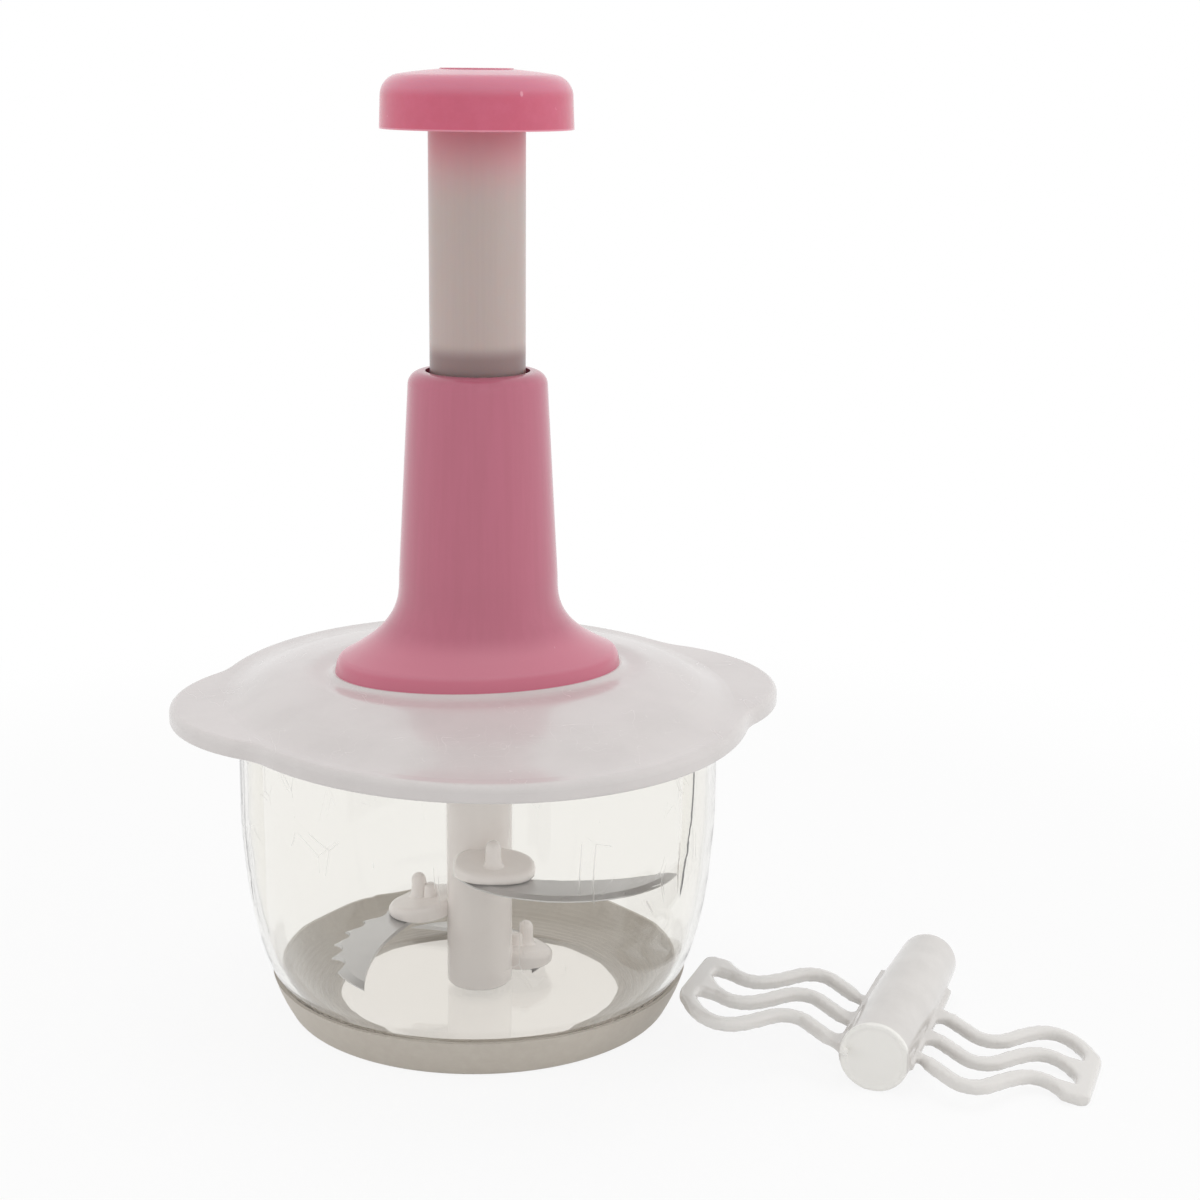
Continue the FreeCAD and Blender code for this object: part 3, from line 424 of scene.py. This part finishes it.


# ---- Return spring
# Twelve turns of round spring wire, between the washer on the lid and the nut in
# the tube. It stands on its washer; it closes up as the knob is pressed down, but
# this coil is fixed to the lid at its rest length.
coil_turns = 12
steps_each_turn = 36
wire_radius = 0.65
wire_sides = 12
lowest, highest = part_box("return_spring")
low, high = lowest[2] * 1000, highest[2] * 1000
coil_radius = (highest[0] - lowest[0]) * 500 - wire_radius
rings = []
for i in range(coil_turns * steps_each_turn + 1):
    turn = math.tau * i / steps_each_turn
    level = low + wire_radius + (high - low - 2 * wire_radius) * i / (coil_turns * steps_each_turn)
    rings.append([])
    for side in range(wire_sides):
        around = math.tau * side / wire_sides
        radius = coil_radius + wire_radius * math.cos(around)
        height = level + wire_radius * math.sin(around)
        rings[-1].append((radius * math.cos(turn), radius * math.sin(turn), height))
shape = bmesh.new()
closed_shell(shape, rings)
spring_coil = new_piece("spring_coil", shape)
spring_coil.data.shade_smooth()
spring_coil.data.materials.append(bright_steel)
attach(spring_coil, "lid")
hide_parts("return_spring")
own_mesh(spring_coil)


# ---- Tower
# A pink glossy column on an oval flange, moulded in one and screwed to the lid
# from inside. The plastic flowed up from the flange, which left soft upright
# streaks. The flange is thinner, and painted paler as a painted highlight, brightest
# in a band above its bottom edge; handling left a few small nicks.
flange_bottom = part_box("tower_housing")[0][2] * 1000
edge_height = 3.0
flare_height = 8.0
tower_pink, place = new_finish("pink_tower_plastic")
flow = place.stretched(1.0, 1.0, 0.03).grain(0.45, 3.0, 0.55)
shrink = place.grain(0.06, 1.0)
peel = place.grain(2.0)
nick_cells = {"Vector": place.stretched(1.0, 1.0, 0.3), "Scale": 0.06}
nicks = 1 - place.node("TexVoronoi", {}, nick_cells).between(0.015, 0.03)
level = place.part("Z")
# Painted highlight: the flange is painted paler than the column, most from 3 mm to 8 mm above its bottom,
# less on the bottom edge.
edge = 1 - level.between(flange_bottom + edge_height, flange_bottom + edge_height + 1.5)
flare_highlight = 1 - level.between(flange_bottom + flare_height, flange_bottom + flare_height + 7.0)
column_pink = flow.between(0.3, 0.7).colour(tone(186, 101, 122), tone(189, 103, 125))
flange_highlight_pink = edge.colour(tone(205, 122, 141), tone(202, 108, 130))
clean_pink = flare_highlight.colour(column_pink, flange_highlight_pink)
settle(tower_pink, Base_Color=(nicks * 0.7).colour(clean_pink, tone(232, 190, 200)),
       Roughness=flow * 0.08 + 0.2, Coat_Weight=0.3, Coat_Roughness=0.08,
       Normal=(shrink * 4.0 + flow * 0.5 + peel * 0.08 - nicks).bump(0.03, 0.5))
dress(tower_pink, "tower_housing")


# ---- Plunger tube
# A satin tube of translucent white plastic, closed at the top, where a screw holds
# it in the knob. A pink glow is painted a little way down from the knob, as painted
# light, and a band just above the tower is painted darker, as painted shade of the
# nut inside. Sliding leaves upright scratches.
# Painted light and shade by height: a pink glow below the knob, and a dark band of shade from the nut.
glow_bottom, glow_top = 232.0, 259.0
shade_band_bottom, shade_band_top = 188.0, 194.0
tube_plastic, place = new_finish("translucent_white_tube")
level = place.part("Z")
painted_knob_glow = level.between(glow_bottom, glow_top) ** 1.5
nut_shade_band = (1 - level.between(shade_band_top, shade_band_top + 5.0)) * level.between(shade_band_bottom - 4.0, shade_band_bottom)
rubbed = place.stretched(1.0, 1.0, 0.015).grain(1.2, 4.0, 0.65)
clean_tube = rubbed.colour(tone(184, 167, 162), tone(192, 176, 170))
shaded_tube = nut_shade_band.colour(clean_tube, tone(144, 122, 120))
settle(tube_plastic, Base_Color=painted_knob_glow.colour(shaded_tube, tone(214, 134, 146)),
       Roughness=rubbed * 0.2 + 0.22, Subsurface_Weight=0.2, Subsurface_Scale=0.004,
       Normal=rubbed.bump(0.02, 0.4))
dress(tube_plastic, "plunger_tube")


# ---- Knob
# A mushroom of brighter pink plastic, hollow below with a socket for the tube.
# A round cover, snapped into the crown, hides the screw. The skin is glossy,
# with fingerprints and a few scuffs, and the crown is painted paler as a painted highlight.
rim_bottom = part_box("knob_cap")[0][2] * 1000
crown_height = 8.5
knob_pink, place = new_finish("pink_knob_plastic")
prints = place.grain(0.25, 5.0, 0.65)
shrink = place.grain(0.08, 1.0)
peel = place.grain(2.0)
level = place.part("Z")
rim_line = 1 - level.between(rim_bottom + 0.25, rim_bottom + 0.6)
nick_cells = {"Vector": place.stretched(1.0, 1.0, 0.6), "Scale": 0.07}
nicks = 1 - place.node("TexVoronoi", {}, nick_cells).between(0.02, 0.045)
worn = (rim_line * 0.6 + nicks * 0.7).math("MINIMUM", 1.0)
# Painted highlight: the knob is painted paler above the crown height.
crown_highlight = level.between(rim_bottom + crown_height, rim_bottom + crown_height + 3.5)
side_pink = prints.between(0.35, 0.7).colour(tone(205, 89, 116), tone(208, 93, 121))
clean_pink = crown_highlight.colour(side_pink, tone(212, 122, 145))
settle(knob_pink, Base_Color=worn.colour(clean_pink, tone(236, 168, 184)),
       Roughness=prints * 0.16 + 0.16, Coat_Weight=0.3, Coat_Roughness=0.06,
       Subsurface_Weight=0.1, Subsurface_Scale=0.004,
       Normal=(shrink * 3.0 + peel * 0.1 - nicks).bump(0.03, 0.5))
dress(knob_pink, "knob_cap", "knob_plug")


# ---- Whisk
# A loose white whisk of milky plastic, moulded flat in one piece: a tapered
# tube with two paddles of three wavy bars. The bars are rounded and thin; they
# are painted paler than the tube as a painted highlight, and the tube's near end
# face is painted paler still, as painted light.
skin_cell = 0.4
smoothing, smooth_rounds = 0.5, 20
swelling = 0.6
far_taper = 0.93
tube_foot = Vector((90.93, -90.93, 10.0))
heading = math.radians(34.8)
tube_line = Vector((math.sin(heading), math.cos(heading), 0))
taper_start, taper_end = 50.0, 75.0
bar_start, bar_blend = 12.0, 3.0
socket_room = 6.5
face_depth, face_radius = 1.0, 9.0
flat_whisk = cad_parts["whisk"]
whisk_moulding = bpy.data.objects.new("whisk_moulding", flat_whisk.data.copy())
bpy.context.scene.collection.objects.link(whisk_moulding)
skin = whisk_moulding.modifiers.new("skin", "REMESH")
skin.mode, skin.voxel_size = "VOXEL", skin_cell / 1000
soften = whisk_moulding.modifiers.new("soften", "SMOOTH")
soften.factor, soften.iterations = smoothing, smooth_rounds
moulded = bpy.data.meshes.new_from_object(whisk_moulding.evaluated_get(bpy.context.evaluated_depsgraph_get()))
whisk_moulding.modifiers.clear()
whisk_moulding.data = moulded
low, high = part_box("whisk")
outward = [normal.vector.copy() for normal in moulded.vertex_normals]
for vertex, away in zip(moulded.vertices, outward):
    point = vertex.co * 1000 - tube_foot
    reach = point.dot(tube_line)
    across = point - reach * tube_line
    beyond = min(max((across.length - bar_start) / bar_blend, 0.0), 1.0)
    across += away * swelling * beyond
    if reach > taper_start and across.length > socket_room:
        share = (reach - taper_start) / (taper_end - taper_start)
        across *= 1 - (1 - far_taper) * min(share, 1.0)
    point = (tube_foot + across + reach * tube_line) / 1000
    vertex.co = [min(max(value, low[axis]), high[axis]) for axis, value in enumerate(point)]
moulded.shade_smooth()
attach(whisk_moulding, "whisk")
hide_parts("whisk")

milky_plastic, place = new_finish("milky_whisk_plastic")
cloudy = place.grain(0.1, 3.0)
peel = place.grain(1.5)
x, y = place.part("X") - tube_foot[0], place.part("Y") - tube_foot[1]
along = x * tube_line[0] + y * tube_line[1]
from_line = (x * tube_line[1] - y * tube_line[0]).math("ABSOLUTE")
in_face = 1 - along.between(face_depth, face_depth + 0.8)
# Painted light: the tube's near end face is painted much paler.
lit_face = in_face * (1 - from_line.between(face_radius, face_radius + 0.6))
# Painted highlight: the bars are painted paler than the tube.
lit_bars = from_line.between(bar_start - 2.0, bar_start + bar_blend)
thick_tone = cloudy.between(0.3, 0.7).colour(tone(210, 206, 202), tone(217, 213, 209))
body_tone = lit_bars.colour(thick_tone, tone(226, 223, 219))
settle(milky_plastic, Base_Color=lit_face.colour(body_tone, tone(246, 244, 239)),
       Roughness=peel * 0.08 + 0.16, Coat_Weight=0.5, Coat_Roughness=0.05, Coat_IOR=1.7,
       Normal=(cloudy * 4.0 + peel * 0.03).bump(0.03, 0.4))
moulded.materials.clear()
moulded.materials.append(milky_plastic)


# ---- Table and light
# A plain white table that runs on to a white surround, whose even light fills
# the shadows. Four large soft lamps stand round the chopper: above and behind,
# in front, to the left and to the right.
def white_when_seen(place):
    """1 for rays that see a surface directly, in gloss or through clear plastic."""
    ray = place.node("LightPath")
    seen = ray.output("Is Camera Ray") + ray.output("Is Glossy Ray") + ray.output("Is Transmission Ray")
    return seen.math("MINIMUM", 1.0)


table_half = 20.0
shadow_reach, shadow_end = 250, 450
shadow_share = 0.12
corners = [(x * table_half, y * table_half, 0) for x, y in ((-1, -1), (1, -1), (1, 1), (-1, 1))]
table_mesh = bpy.data.meshes.new("table")
table_mesh.from_pydata(corners, [], [(0, 1, 2, 3)])
table = bpy.data.objects.new("table", table_mesh)
bpy.context.scene.collection.objects.link(table)
table_white, place = new_finish("table_white")
table_mesh.materials.append(table_white)
settle(table_white, Base_Color=tone(238, 238, 238), Roughness=0.6, Specular_IOR_Level=0.1)
tree = table_white.node_tree
painted = Strand(tree, tree.nodes["Principled BSDF"].outputs[0])
white = place.node("Emission", {}, {"Color": (1, 1, 1, 1), "Strength": 1.0})
x, y = place.part("X"), place.part("Y")
away = ((x * x + y * y) ** 0.5).between(shadow_reach, shadow_end)
share = 1 - (1 - away) * shadow_share
lit = place.node("MixShader", {}, {0: white_when_seen(place) * share, 1: painted, 2: white})
tree.links.new(lit.socket, tree.nodes["Material Output"].inputs["Surface"])

surround = bpy.data.worlds.new("white_surround")
bpy.context.scene.world = surround
surround.use_nodes = True
background = surround.node_tree.nodes["Background"]
background.inputs["Color"].default_value = (1, 1, 1, 1)
sky = Strand(surround.node_tree, background.outputs[0])
fill = 0.55
strength = white_when_seen(sky) * (1 - fill) + fill
surround.node_tree.links.new(strength.socket, background.inputs["Strength"])


def soft_lamp(name, place, aim, width, watts):
    """A square soft lamp that faces a point; neither the camera nor gloss shows it."""
    lamp = bpy.data.lights.new(name, "AREA")
    lamp.size = width
    lamp.energy = watts
    holder = bpy.data.objects.new(name, lamp)
    holder.location = place
    holder.rotation_euler = (Vector(aim) - Vector(place)).to_track_quat("-Z", "Y").to_euler()
    holder.visible_camera = holder.visible_transmission = holder.visible_glossy = False
    bpy.context.scene.collection.objects.link(holder)


lamp_width = 1.2
lid_middle, bowl_middle = (0, 0, 0.12), (0, 0, 0.1)
soft_lamp("lamp_above", (0.15, 0.35, 1.6), lid_middle, lamp_width, 6)
soft_lamp("lamp_front", (0.2, -1.4, 0.9), lid_middle, lamp_width, 3.5)
soft_lamp("lamp_left", (-1.35, 0.15, 0.55), bowl_middle, lamp_width, 5)
soft_lamp("lamp_right", (1.3, -0.5, 0.55), bowl_middle, lamp_width, 5.5)


# ---- Camera
# It stands in front of the chopper, a little to the left and at the knob's
# height, and looks down and to the right. It is tilted by half a degree.
camera_place = (-0.1314, -0.6182, 0.276)
focal_length = 67.05
down, aside, tilt = (math.radians(angle) for angle in (13.6, 15.2, 0.55))
ahead = Vector((math.sin(aside) * math.cos(down), math.cos(aside) * math.cos(down), -math.sin(down)))
right = Vector((math.cos(aside), -math.sin(aside), 0))
up = right.cross(ahead)
across = math.cos(tilt) * right + math.sin(tilt) * up
upward = math.cos(tilt) * up - math.sin(tilt) * right
lens = bpy.data.cameras.new("camera")
lens.sensor_width = 36
lens.lens = focal_length
lens.clip_start = 0.05
camera = bpy.data.objects.new("camera", lens)
camera.matrix_world = Matrix((across, upward, -ahead)).transposed().to_4x4()
camera.location = camera_place
bpy.context.scene.collection.objects.link(camera)
bpy.context.scene.camera = camera
bpy.context.scene.view_settings.view_transform = "Standard"
